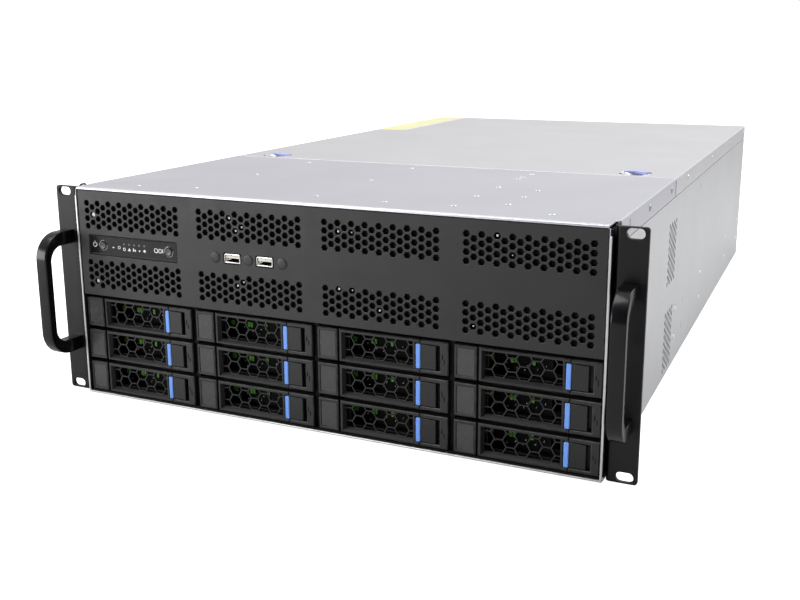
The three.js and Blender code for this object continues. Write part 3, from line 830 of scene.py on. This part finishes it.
def build_grille_glints():
    """Small pale discs in single holes of the honeycomb: painted glints of light seen through the holes."""
    # Each is (block, upper or lower field, column, row, radius).
    spots = [(0, 0, 1, 1, 1.7), (0, 1, 1, 0, 1.5), (1, 0, 5, 2, 0.9), (1, 0, 6, 1, 0.8), (1, 0, 7, 1, 0.7),
             (1, 1, 6, 2, 0.9), (1, 1, 7, 2, 0.7), (2, 0, 2, 2, 0.9), (2, 0, 4, 2, 0.6),
             (2, 1, 2, 3, 1.0), (2, 1, 4, 3, 0.6), (2, 1, 8, 1, 0.8), (3, 0, 4, 3, 0.9), (3, 0, 6, 1, 0.5),
             (3, 1, 1, 0, 0.6)]
    shell = Shell()
    for block, field, column, row, radius in spots:
        count = 4 - column % 2
        u = BLOCK_X[block] + (column - 8) * HEX["pitch_u"]
        v = BLOCK_Z[field] + (min(row, count - 1) - (count - 1) / 2) * HEX["pitch_v"]
        shell.plate(facing_front(GRILLE_HIGH.y - 0.5), circle(u - 0.3, v, radius, 10), 1.2, rim=0.1)
    make("grille_painted_glints", shell, MARKS)


def build_controls():
    low, high = CONTROL_LOW, CONTROL_HIGH
    outline = soft_rect(low.x, high.x, low.z, high.z, 0.8, 3)
    face = facing_front(low.y)
    z = (low.z + high.z) / 2
    floor = 1.0
    buttons = {name: middle_of(name).x for name in ("power_button", "identify_button")}
    dish = soft_rect(low.x + 1.2, high.x - 1.2, low.z + 1.2, high.z - 1.2, 0.6, 2)
    shell = Shell().plate(face, outline, floor + 0.01, [(dish, None, 0.3)], rim=0.3)
    bores = [(circle(x, z, 4.0, 28), 6.0, 0.1) for x in buttons.values()]
    shell.plate(facing_front(low.y + floor), outline, high.y - low.y - floor, bores, rim=0.0)
    make("control_housing", shell, GLOSS, replaces=["control_panel"])

    rings = Shell()
    for name, x in buttons.items():
        profile = [(0, 0.35), (1.4, 0.3), (2.3, 0.0), (2.7, -0.1), (3.0, 0.15), (3.0, 5), (0, 5)]
        cap = Shell().turned(facing_front(node_box(name)[0].y), x, z, profile, 32)
        make(name.replace("button", "cap"), cap, GREY_PLASTIC, name, [name])
        ring = [(3.75, 0.3), (3.8, -0.35), (4.0, -0.5), (4.25, -0.35), (4.3, 0.3)]
        _ring(rings, face, x, z, floor, ring)
    make("button_rings", rings, BRIGHT)

    marks = Shell()
    flat = facing_front(low.y + floor - 0.06)
    x0 = buttons["power_button"]

    def mark(loop):
        marks.plate(flat, loop, 0.05, rim=0.0)

    px = low.x + 4.4
    mark(arc(px, z + 0.2, 1.5, 0.6, 120, 300))
    mark(rect(px - 0.3, px + 0.3, z + 0.8, z + 3.0))
    mark(arc(x0 + 16, z - 0.6, 0.85, 0.5, 0, 359))
    mark(rect(x0 + 9.2, x0 + 11, z - 1.4, z - 0.6))
    lamps = Shell()
    icon_x = [low.x + 34.1 + 5.05 * k for k in range(5)]
    for k, x in enumerate(icon_x):
        lamps.turned(facing_front(low.y + floor), x, z + 2.4,
                     [(0, -0.25), (0.55, -0.2), (0.85, 0.0), (0.85, 0.3), (0, 0.3)], 16)
        v = z - 1.6
        if k == 0:
            mark(arc(x, v, 0.8, 0.55, 0, 359))
        elif k == 1:
            mark([(x - 1.5, v - 1.1), (x + 1.5, v - 1.1), (x, v + 1.4)])
        elif k == 2:
            mark(rect(x - 1.4, x - 0.4, v - 1.1, v + 1.3))
            mark(rect(x + 0.1, x + 1.4, v - 1.1, v + 0.5))
        elif k == 3:
            mark(circle(x, v - 0.2, 0.75, 12))
        else:
            mark([(x - 1.5, v), (x, v - 1.3), (x + 1.5, v), (x, v + 1.3)])
    ux = buttons["identify_button"]
    mark(arc(ux - 12.6, z - 0.1, 1.35, 0.6, 0, 359))
    mark(arc(ux - 8.6, z - 0.1, 1.2, 0.6, 0, 359))
    mark(rect(ux - 6.4, ux - 5.7, z - 1.7, z + 1.5))
    make("control_marks", marks, MARKS)
    make("indicator_lamps", lamps, DIM_LAMP)


def _ring(shell, face, u, v, floor, profile, steps=32):
    """A round band whose section is a closed line of (radius, depth above the floor) points."""
    rings = [shell.ring(circle(u, v, r, steps), face, floor + w) for r, w in profile]
    for a, b in zip(rings, rings[1:] + rings[:1]):
        shell.band(a, b, 0.0, True)


def build_usb():
    for side in ("left", "right"):
        name = f"usb_port_{side}"
        low, high = node_box(name)
        x, _, z = middle_of(name)
        mouth = soft_rect(x - 6.25, x + 6.25, z - 2.55, z + 2.55, 0.4, 2)
        case = soft_rect(x - 7.1, x + 7.1, z - 3.6, z + 3.6, 0.9, 4)
        deep = high.y - low.y
        shell = Shell().plate(facing_front(low.y), case, deep, [(mouth, deep - 1.0, 0.25)], rim=0.35)
        make(f"usb_shell_{side}", shell, BRIGHT, replaces=[name])
        bar = soft_rect(x - 5.9, x + 5.9, z + 0.3, z + 2.3, 0.2, 2)
        tongue = Shell().plate(facing_front(low.y + 0.6), bar, 10.8)
        make(f"usb_tongue_{side}", tongue, PALE)
        pins = Shell()
        for p in range(4):
            u = x - 3.6 + 2.4 * p
            pins.plate(facing_front(low.y + 2.0), rect(u - 0.5, u + 0.5, z + 0.05, z + 0.28), 9.5, rim=0.03)
        make(f"usb_contacts_{side}", pins, GOLD)
        # A near-black strip on the floor of each port's mouth: painted shade under the tongue.
        under = rect(x - 6.2, x + 6.2, z - 2.5, z - 2.2)
        floor_shade = Shell().plate(facing_front(low.y + 0.8), under, 9.5, rim=0.05)
        make(f"usb_painted_shade_{side}", floor_shade, DEEP_BLACK)


# ------------------------------------------------------------------ drive trays
TRAY_W, TRAY_H = 104.6, 24.6
MESH = {"across": 9.15, "pitch_u": 8.75, "pitch_v": 10.1, "left": 23.65}
KNUCKLE = {"u": 20.35, "depth": 3.4, "radius": 3.4}  # the lever's hinge end
WINDOW = {"left": 21.7, "right": 77.1, "low": 3.5, "high": 22.0}


def tray_bezel():
    face = facing_front(0)
    left = soft_rect(0, 16.65, 0, TRAY_H, 0.5, 2)
    label = soft_rect(1.9, 15.2, 2.2, 22.5, 0.5, 2)
    shell = Shell().plate(face, left, 12, [(label, 0.8, 0.35)], rim=0.6)
    right = [(83.15, 0), (TRAY_W, 0), (TRAY_W, TRAY_H), (83.15, TRAY_H), (83.15, 21.6), (98.4, 21.6),
             (98.4, 2.7), (83.15, 2.7)]
    slots = [(soft_rect(u - 0.35, u + 0.35, v - 1.9, v + 1.9, 0.3, 2), 0.8, 0.1)
             for u, v in ((100.3, 13.6), (101.9, 10.4))]
    shell.plate(face, right, 5.0, slots, rim=0.6)
    shell.plate(facing_front(5.0), rect(83.15, TRAY_W, 0, TRAY_H), 7.0, rim=0.0)
    air = soft_rect(22, 78, 3.4, 22.2, 1, 2)
    shell.plate(facing_front(9.5), rect(16.7, 83.1, 0.3, TRAY_H - 0.3), 2.5, [(air, None)])
    for x0 in (0.4, TRAY_W - 1.4):
        vents = [(soft_rect(20 + k * 22, 32 + k * 22, 6, 18, 2, 3), None) for k in range(6)]
        rail = lambda u, v, w, x0=x0: Vector((x0 + w, u, v))
        shell.plate(rail, soft_rect(11, 160, 0, TRAY_H - 1, [0, 6, 6, 0], 3), 1.0, vents, rim=0.15)
    holes = [(soft_rect(14, 90, 70, 145, 4, 3), None)]
    shell.plate(facing_up(0.5), rect(1.5, TRAY_W - 1.5, 12.1, 160), 0.5, holes, rim=0.1)
    return shell


def tray_label():
    return Shell().plate(facing_front(0.45), soft_rect(2.1, 15.0, 2.4, 22.3, 0.4, 2), 0.4, rim=0.12)


def lever_frame():
    """The front frame about the mesh window, with its sides sloping in to the mesh."""
    left = KNUCKLE["u"] - 1.4
    outline = [(left, 0), (82.65, 0), (82.65, 2.5), (79.4, 2.5), (79.4, 21.8), (82.65, 21.8),
               (82.65, TRAY_H), (left, TRAY_H)]
    mouth = [(20.2, 1.5), (77.9, 2.0), (77.6, 22.6), (20.2, 22.6)]
    w = WINDOW
    throat = rect(w["left"], w["right"], w["low"], w["high"])
    shell = Shell().plate(facing_front(0), outline, 3.2, [(mouth, None, 0.0, throat)], rim=0.6)
    holes = []
    for column in range(7):
        u = MESH["left"] + column * MESH["pitch_u"]
        middles = (-1.8, 8.3, 18.3) if column % 2 == 0 else (-6.7, 3.4, 13.5)
        for below in middles:
            loop = hexagon(u, w["high"] - below, MESH["across"])
            loop = clip(loop, w["left"] + 0.05, w["right"] - 0.05, w["low"] + 0.05, w["high"] - 0.05)
            if len(loop) > 2 and abs(area(loop)) > 1.5:
                holes.append((loop, None, 0.12))
    backing = rect(w["left"] - 1.2, w["right"] + 1.2, w["low"] - 1.2, w["high"] + 1.2)
    shell.plate(facing_front(3.2), backing, 1.2, holes, rim=0.0, worn=0.6)
    shell.plate(facing_front(4.4), outline, 2.6, [(throat, None, 0.0)], rim=0.0, back_rim=0.4)
    shell.plate(facing_front(3.2), outline, 1.2, [(offset(backing, -0.02), None, 0.0)], rim=0.0)
    knuckle = []
    for k in range(15):
        a = math.radians(98 + 164 * k / 14)
        across, deep = KNUCKLE["radius"] * math.cos(a), KNUCKLE["radius"] * math.sin(a)
        knuckle.append((KNUCKLE["u"] + across, KNUCKLE["depth"] + deep))
    return shell.plate(facing_up(TRAY_H), knuckle, TRAY_H, rim=0.3, back_rim=0.3)


def latch_strip():
    return Shell().plate(facing_front(-0.5), soft_rect(80, 83.4, 3.1, 21.2, 0.6, 3), 4.5, rim=0.45)


def latch_pad():
    return Shell().plate(facing_front(0.2), soft_rect(83.55, 95.2, 3.2, 21.1, 0.5, 2), 3.8, rim=0.35)


def tray_tabs():
    """The ends of the drive's circuit board, seen behind the mesh."""
    shell = Shell()
    for u, half in ((20.2, 1.9), (35.4, 1.3), (38, 0.8), (51.4, 1.1)):
        shell.plate(facing_front(21.5), soft_rect(u - half, u + half, 9.2, 13.4, 0.5, 2), 1.2, rim=0.15)
    return shell


# Pale dots behind the mesh: painted glints of light on small metal points inside the bay.
def tray_painted_glint_dots():
    shell = Shell()
    points = [(24.6, 5.2), (31.4, 9.2), (33, 4.6), (39.2, 6.4), (44.8, 5.1), (47, 8.6), (54.2, 6.4),
              (60.5, 9.8)]
    for u, v in points:
        shell.plate(facing_front(20.6), circle(u, v, 0.42, 8), 2.2, rim=0.1)
    return shell


def tray_card():
    """The dark card that carries the tabs and the pale dots of painted glint."""
    air = [(soft_rect(65, 80, 5, 20, 1.5, 3), None)]
    return Shell().plate(facing_front(22.6), soft_rect(16.8, 82.8, 1.2, 23.2, 0.8, 2), 1.2, air, rim=0.15)


def build_trays():
    parts = [
        ("bezel", tray_bezel(), PLASTIC, "tray"), ("label", tray_label(), LABEL, "tray"),
        # The pale dots are painted glints.
        ("tabs", tray_tabs(), TAB_GREEN, "tray"), ("painted_glint_dots", tray_painted_glint_dots(), PALE, "tray"),
        ("card", tray_card(), DEEP_BLACK, "tray"),
        ("frame", lever_frame(), PLASTIC, "lever"), ("strip", latch_strip(), BLUE, "latch"),
        ("pad", latch_pad(), PAD_PLASTIC, "latch"),
    ]
    stands_for = {"bezel": "tray", "frame": "lever", "strip": "latch"}
    meshes = {part: shell.mesh(f"bay_{part}", finish.material) for part, shell, finish, _ in parts}
    for row in (1, 2, 3):
        for column in (1, 2, 3, 4):
            label = f"{row}_{column}"
            corner = node_box(f"tray_{label}")[0]
            for part, _, _, body in parts:
                node = f"{stands_for[part]}_{label}" if part in stands_for else None
                place(f"bay_{part}_{label}", meshes[part], f"{body}_{label}", [node] if node else (),
                      corner)


# ------------------------------------------------------------------ inside and rear
def refinish():
    """Gives the CAD nodes that stay visible inside their finishes."""
    cage = CAGE_STEEL
    shade_from, shade_to = (EAR_FACE + 60) * MM, (EAR_FACE + 64) * MM  # its front end is painted near-black and not metallic: painted shade in the gaps between the trays
    edge = cage.node("SeparateXYZ", {0: cage.place}).outputs[1]
    front = cage.ramp(edge, shade_from, shade_to, 1, 0)
    bare = cage.shader.inputs["Base Color"].links[0].from_socket
    cage.drive("Base Color", cage.mix(front, bare, (0.004, 0.004, 0.004)))
    cage.drive("Metallic", cage.ramp(edge, shade_from, shade_to, 0, 0.8))
    finishes = {
        "drive_cage": cage, "backplane": BOARD, "fan_wall": PLASTIC, "main_board": BOARD,
        "impeller_1": DARK_PLASTIC, "impeller_2": DARK_PLASTIC, "impeller_3": DARK_PLASTIC,
    }
    for node, finish in finishes.items():
        mesh_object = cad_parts[node]
        mesh_object.data.materials.clear()
        mesh_object.data.materials.append(finish.material)


FANS = {"x": (-12, 76), "z": 114, "radius": 37.5, "screws": 35.75}
SLOT_X = [134 + 20.32 * k for k in range(4)]
PORTS = {"left": -47.8, "right": 111.8, "low": 14.2, "high": 59.8}


def fan_corners():
    reach = FANS["screws"]
    return [(x + du, FANS["z"] + dv) for x in FANS["x"] for du in (-reach, reach) for dv in (-reach, reach)]


def build_rear():
    y = BACK_HIGH.y
    face = facing_rear(y)
    low_x, high_x = BACK_LOW.x, BACK_HIGH.x
    ports = rect(PORTS["left"] - 0.5, PORTS["right"] + 0.5, PORTS["low"] - 0.5, PORTS["high"] + 0.5)
    supply = rect(SUPPLY_LOW.x - GAP, SUPPLY_HIGH.x + GAP, SUPPLY_LOW.z - GAP, SUPPLY_HIGH.z + GAP)
    cuts = [(supply, None, 0.1), (ports, None, 0.2)]
    for x in SLOT_X:
        cuts.append((soft_rect(x - 8.2, x + 8.2, 18, 126, 1, 2), None, 0.2))
    for x in FANS["x"]:
        for loop in honeycomb(x, FANS["z"], 15, 13, 4.7):
            u = sum(p[0] for p in loop) / 6 - x
            v = sum(p[1] for p in loop) / 6 - FANS["z"]
            if math.hypot(u, v) < FANS["radius"]:
                cuts.append((loop, None, 0.12))
    cuts += [(circle(u, v, 2.4, 16), 0.5, 0.6) for u, v in fan_corners()]
    cuts += [(loop, None, 0.12) for loop in honeycomb(-139, 130, 23, 9)]
    shell = Shell().plate(face, rect(low_x, high_x, BACK_LOW.z, BACK_HIGH.z), SHEET, cuts, rim=0.15)
    make("rear_sheet", shell, STEEL, replaces=["rear_panel"])

    screws = Shell()
    for u, v in fan_corners():
        screws.screw(face, u, v, 2.6, proud=0.3, thick=0.7)
    for x in (-205, -100, 30, 120, 205):
        screws.screw(face, x, TOP - 8, 3.0, proud=1.2, thick=1.4)
    for x in SLOT_X:
        screws.screw(facing_rear(y + 0.6), x, 132, 2.8, proud=1.0, thick=1.2)
    make("rear_screws", screws, BRIGHT)

    brackets = Shell()
    for x in SLOT_X:
        holes = [(soft_rect(x - 4.5, x + 4.5, 30 + 8 * k, 33.4 + 8 * k, 1.6, 4), None, 0.1)
                 for k in range(11)]
        outline = soft_rect(x - 9.4, x + 9.4, 14, 137, 1.2, 3)
        brackets.plate(facing_rear(y + 0.9), outline, 0.85, holes, rim=0.15)
    make("slot_brackets", brackets, COVER_STEEL)


def build_ports():
    """The plate of sockets in the rear panel's cut-out."""
    y = BACK_HIGH.y
    x0, z0 = PORTS["left"], PORTS["low"]
    sockets = []  # (left, low, width, height) from the plate's corner
    sockets += [(8, 6, 13, 13), (8, 24, 13, 13)]
    sockets += [(26, 5, 14, 6), (26, 14, 14, 6), (26, 23, 14, 6), (26, 32, 14, 6)]
    sockets += [(46, 4, 16, 14), (68, 4, 16, 14), (46, 24, 31, 9)]
    sockets += [(90, 5, 14, 6), (90, 14, 14, 6), (90, 23, 16, 14)]
    holes = [(soft_rect(x0 + u, x0 + u + w, z0 + v, z0 + v + h, 0.6, 2), None, 0.15)
             for u, v, w, h in sockets]
    jacks = [(x0 + 120, z0 + 8 + 13 * k) for k in range(3)]
    holes += [(circle(u, v, 4.2, 20), None, 0.15) for u, v in jacks]
    outline = soft_rect(x0, PORTS["right"], z0, PORTS["high"], 1, 2)
    plate = Shell().plate(facing_rear(y + 0.5), outline, 1.0, holes)
    make("port_plate", plate, COVER_STEEL)
    shells, cores = Shell(), Shell()
    for u, v, w, h in sockets:
        a, b = x0 + u + 0.2, z0 + v + 0.2
        mouth = soft_rect(a + 0.8, a + w - 1.2, b + 0.8, b + h - 1.2, 0.3, 2)
        shells.plate(facing_rear(y + 0.9), soft_rect(a, a + w - 0.4, b, b + h - 0.4, 0.5, 2), 6.6,
                     [(mouth, 6.2, 0.2)], rim=0.25)
        cores.plate(facing_rear(y - 4), mouth, 1.0, rim=0.0)
        inner = rect(a + 2, a + w - 2.4, b + h * 0.5, b + h * 0.5 + min(2, h * 0.3))
        cores.plate(facing_rear(y - 0.6), inner, 3.8)
    make("port_shells", shells, BRIGHT)
    make("port_cores", cores, DARK_PLASTIC)
    audio = Shell()
    for u, v in jacks:
        _ring(audio, facing_rear(y), u, v, 0.0,
              [(1.9, -0.9), (3.6, -0.9), (4.0, -0.5), (4.0, 8), (1.9, 8)])
        audio.turned(facing_rear(y), u, v, [(0, 8.1), (3.9, 8.1), (3.9, 8.6), (0, 8.6)])
    make("audio_jacks", audio, DARK_PLASTIC)


def build_supply():
    low, high = SUPPLY_LOW, SUPPLY_HIGH
    shell_y = BACK_HIGH.y + 1.5
    face = facing_rear(shell_y)
    inlet = (low.x + 10.5, low.x + 35.5, low.z + 13.5, low.z + 30.5)
    cuts = [(soft_rect(*inlet, [2.5, 2.5, 6, 6], 3), 14, 0.1)]
    vent, small_vent = (low.x + 96, (low.z + high.z) / 2), (low.x + 23, low.z + 62)
    cuts += [(loop, 3.0, 0.12) for loop in honeycomb(*vent, 15, 11, 4.7)]
    cuts += [(loop, 3.0, 0.12) for loop in honeycomb(*small_vent, 5, 5, 4.7)]
    outline = soft_rect(low.x, high.x, low.z, high.z, 1.5, 4)
    shell = Shell().plate(face, outline, high.y - low.y - 2, cuts, rim=0.4, back_rim=0.4)
    make("supply_case", shell, STEEL, replaces=["power_supply"])
    shade_behind = Shell()
    for u, v, half, rise in ((*vent, 48, 39), (*small_vent, 16, 18)):
        behind = rect(u - half, u + half, v - rise, v + rise)
        shade_behind.plate(facing_rear(shell_y - 1.2), behind, 1.6, rim=0.1)
    make("supply_shade", shade_behind, DEEP_BLACK)

    socket = soft_rect(inlet[0] - 5, inlet[1] + 5, inlet[2] - 5, inlet[3] + 5, 2.5, 4)
    mouth = soft_rect(*inlet, [2.5, 2.5, 6, 6], 3)
    rim = Shell().plate(facing_rear(REAR), socket, REAR - shell_y - 0.05, [(mouth, None, 0.5)], rim=0.4)
    make("inlet_rim", rim, DARK_PLASTIC)
    pins = Shell()
    for u, v in ((-6.5, -1.5), (0, 3.0), (6.5, -1.5)):
        cx, cz = (inlet[0] + inlet[1]) / 2 + u, (inlet[2] + inlet[3]) / 2 + v
        pins.plate(facing_rear(shell_y - 3), soft_rect(cx - 1.0, cx + 1.0, cz - 2.2, cz + 2.2, 0.4, 2),
                   10.9, rim=0.4)
    make("inlet_pins", pins, BRIGHT)
    screws = Shell()
    for u, v in ((5, 5), (5, high.z - low.z - 5), (high.x - low.x - 5, 5),
                 (high.x - low.x - 5, high.z - low.z - 5)):
        screws.screw(face, low.x + u, low.z + v, 3.0, proud=0.9, thick=0.9)
    make("supply_screws", screws, BRIGHT)


# ------------------------------------------------------------------ stage, light and camera
CAMERA = {"at": (350.1, -614.1, 289.4), "azimuth": 24.553, "down": 12.575, "roll": -0.243, "lens": 44.33,
          "shift": -0.05}


def build_stage():
    floor = bpy.data.meshes.new("floor")
    far, under = 12.0, -0.0006
    floor.from_pydata([(-far, -far, under), (far, -far, under), (far, far, under), (-far, far, under)],
                      [], [(0, 1, 2, 3)])
    white = bpy.data.materials.new("floor")
    white.use_nodes = True
    shader = white.node_tree.nodes["Principled BSDF"]
    shader.inputs["Base Color"].default_value = (0.6, 0.6, 0.6, 1)
    shader.inputs["Roughness"].default_value = 0.9
    shader.inputs["Emission Color"].default_value = (1, 1, 1, 1)
    seen = white.node_tree.nodes.new("ShaderNodeLightPath")
    white.node_tree.links.new(seen.outputs["Is Camera Ray"], shader.inputs["Emission Strength"])
    floor.materials.append(white)
    stand = bpy.data.objects.new("floor", floor)
    bpy.context.scene.collection.objects.link(stand)


def area_light(name, at, to, size, power, shape=(1, 1)):
    light = bpy.data.lights.new(name, "AREA")
    light.shape = "RECTANGLE"
    light.size, light.size_y = size * shape[0], size * shape[1]
    light.energy = power
    lamp = bpy.data.objects.new(name, light)
    bpy.context.scene.collection.objects.link(lamp)
    lamp.location = at
    lamp.rotation_euler = (Vector(to) - Vector(at)).to_track_quat("-Z", "Y").to_euler()


def build_light():
    world = bpy.data.worlds.new("studio")
    bpy.context.scene.world = world
    world.use_nodes = True
    tree = world.node_tree

    place = add_node(tree, "TexCoord").outputs["Generated"]

    def towards(direction, start, end, low, high):
        """low away from the direction, turning to high towards it."""
        aim = Vector(direction).normalized()
        dot = add_node(tree, "VectorMath", {0: place, 1: aim}, operation="DOT_PRODUCT").outputs["Value"]
        inputs = {"Value": dot, "From Min": start, "From Max": end, "To Min": low, "To Max": high}
        return add_node(tree, "MapRange", inputs, interpolation_type="SMOOTHSTEP").outputs[0]

    front = towards((0.15, -0.97, 0.1), 0.15, 0.85, 0.82, 0.06)
    left = towards((-1, 0, 0), 0.2, 0.7, 1.0, 0.76)
    dim = add_node(tree, "Math", {0: front, 1: left}, operation="MULTIPLY").outputs[0]
    seen = add_node(tree, "LightPath").outputs["Is Camera Ray"]
    white = add_node(tree, "Mix", {0: seen, 2: dim, 3: 1.0})
    tree.links.new(white.outputs[0], tree.nodes["Background"].inputs["Color"])
    area_light("key", (-1.35, -1.6, 0.42), (-0.1, -0.4, 0.1), 1.0, 27, (1.5, 0.8))
    area_light("side", (1.1, 0.6, 1.3), (0.25, 0.4, 0.0), 1.2, 15)
    area_light("top", (-0.7, -0.5, 1.9), (0, -0.1, 0.1), 1.3, 22)
    bpy.context.scene.view_settings.view_transform = "Standard"


def build_camera():
    data = bpy.data.cameras.new("camera")
    data.lens, data.sensor_width, data.shift_y = CAMERA["lens"], 36, CAMERA["shift"]
    data.clip_start, data.clip_end = 0.02, 50
    camera = bpy.data.objects.new("camera", data)
    bpy.context.scene.collection.objects.link(camera)
    x, y, z = CAMERA["at"]
    camera.location = Vector((x, y + EAR_FACE, z)) * MM
    turn = Matrix.Rotation(math.radians(CAMERA["azimuth"]), 3, "Z")
    turn @= Matrix.Rotation(math.radians(90 - CAMERA["down"]), 3, "X")
    turn @= Matrix.Rotation(math.radians(CAMERA["roll"]), 3, "Z")
    camera.rotation_euler = turn.to_euler()
    bpy.context.scene.camera = camera


build_camera()
build_stage()
build_light()
build_pan()
build_front_cover()
build_rear_lid()
build_lid_latches()
build_ears()
build_handles()
build_grille()
build_grille_glints()
build_controls()
build_usb()
build_trays()
refinish()
build_rear()
build_ports()
build_supply()
